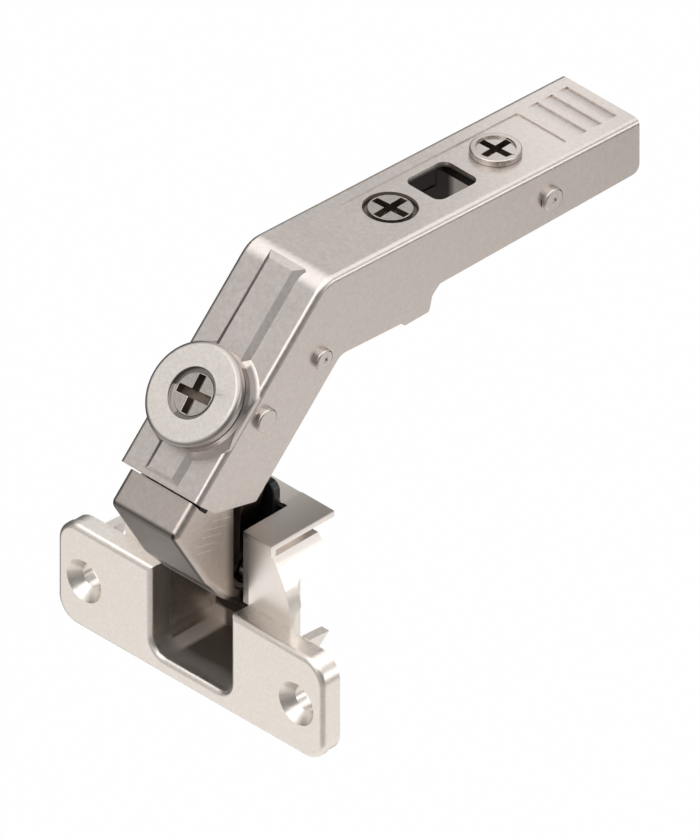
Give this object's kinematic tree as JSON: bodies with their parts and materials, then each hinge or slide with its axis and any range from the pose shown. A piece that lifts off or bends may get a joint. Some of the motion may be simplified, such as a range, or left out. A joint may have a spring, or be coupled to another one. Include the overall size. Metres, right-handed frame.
{
  "type": "concealed cup hinge",
  "caption": "Concealed cup hinge with a screw-on flange, a crossed link pair and an angled clip-on arm with adjusting screws, for folding cabinet fronts.",
  "frame": {"origin": "middle of the two flange screw holes, on the flange's back face, where it meets the front's inner face", "axes": "+X along the line of the two screw holes, +Y into the drilled front and along the closed arm, +Z towards the front's edge that the arm goes over"},
  "size_m": [0.0562, 0.097, 0.0689],
  "materials": {
    "nickel_casting": "satin nickel plating on a die casting",
    "nickel_sheet": "satin nickel plating on folded steel",
    "nickel_link": "satin nickel plating, darker on the links",
    "nickel_pin": "turned and nickel plated",
    "nickel_screw": "bright nickel plating",
    "spring_wire": "drawn wire",
    "black_plastic": "moulded, slightly glossy"
  },
  "bodies": {
    "cup": {"cup_housing": "nickel_casting", "outer_link_cup_pin": "nickel_pin", "inner_link_cup_pin": "nickel_pin", "inner_link_spacers": "nickel_pin", "stop_buffer": "black_plastic"},
    "outer_link_body": {"outer_link": "nickel_link"},
    "inner_link_body": {"inner_link": "nickel_link"},
    "arm": {"hinge_arm": "nickel_sheet", "outer_link_arm_rivets": "nickel_pin", "inner_link_arm_rivet": "nickel_pin", "adjuster_disc": "nickel_casting", "adjuster_ring": "nickel_pin"},
    "stop_adjuster": {"stop_screw": "nickel_screw", "stop_pad": "black_plastic"},
    "side_adjuster": {"side_screw": "nickel_screw"},
    "depth_adjuster": {"depth_cam": "nickel_screw", "depth_cam_washer": "nickel_pin"},
    "channel": {"mounting_channel": "nickel_sheet", "lever_rivet": "nickel_pin"},
    "lever": {"clip_lever": "nickel_sheet", "lever_spring": "spring_wire"}
  },
  "joints": [
    {"name": "outer_link_swing", "type": "hinge", "parent": "cup", "child": "outer_link_body", "pos_m": [0, 0.0075, 0.008], "axis": [1, 0, 0], "range_deg": [0, 49.31]},
    {"name": "arm_swing", "type": "hinge", "parent": "outer_link_body", "child": "arm", "pos_m": [0, 0.0036, 0.0415], "axis": [1, 0, 0], "range_deg": [0, 10.7]},
    {"name": "inner_link_swing", "type": "hinge", "parent": "cup", "child": "inner_link_body", "pos_m": [0, 0.0045, 0.012], "axis": [1, 0, 0], "range_deg": [0, 57.85]},
    {"name": "stop_screw_turn", "type": "hinge", "parent": "arm", "child": "stop_adjuster", "pos_m": [0, -0.00055, 0.04275], "axis": [0, -0.7071, 0.7071], "range_deg": [-180, 180]},
    {"name": "side_screw_turn", "type": "hinge", "parent": "arm", "child": "side_adjuster", "pos_m": [0, 0.0387, 0.05889], "axis": [0, 0.0492, 0.9988], "range_deg": [-180, 180]},
    {"name": "depth_slide", "type": "slide", "parent": "arm", "child": "channel", "axis": [0, 0.9988, -0.0492], "range_m": [-0.00069, 0.00069]},
    {"name": "depth_cam_turn", "type": "hinge", "parent": "arm", "child": "depth_adjuster", "pos_m": [0, 0.061, 0.05779], "axis": [0, 0.0492, 0.9988], "range_deg": [-90, 90]},
    {"name": "clip_release", "type": "hinge", "parent": "channel", "child": "lever", "pos_m": [0, 0.0643, 0.0517], "axis": [1, 0, 0], "range_deg": [0, 9], "stiffness_Nm_per_rad": 0.1, "springref_deg": -22.92}
  ],
  "couplings": [
    {"joint": "arm_swing", "follows": "outer_link_swing", "ratio": 0.21679},
    {"joint": "inner_link_swing", "follows": "outer_link_swing", "ratio": 1.1724},
    {"joint": "depth_cam_turn", "follows": "depth_slide", "rad_per_m": 2244}
  ]
}
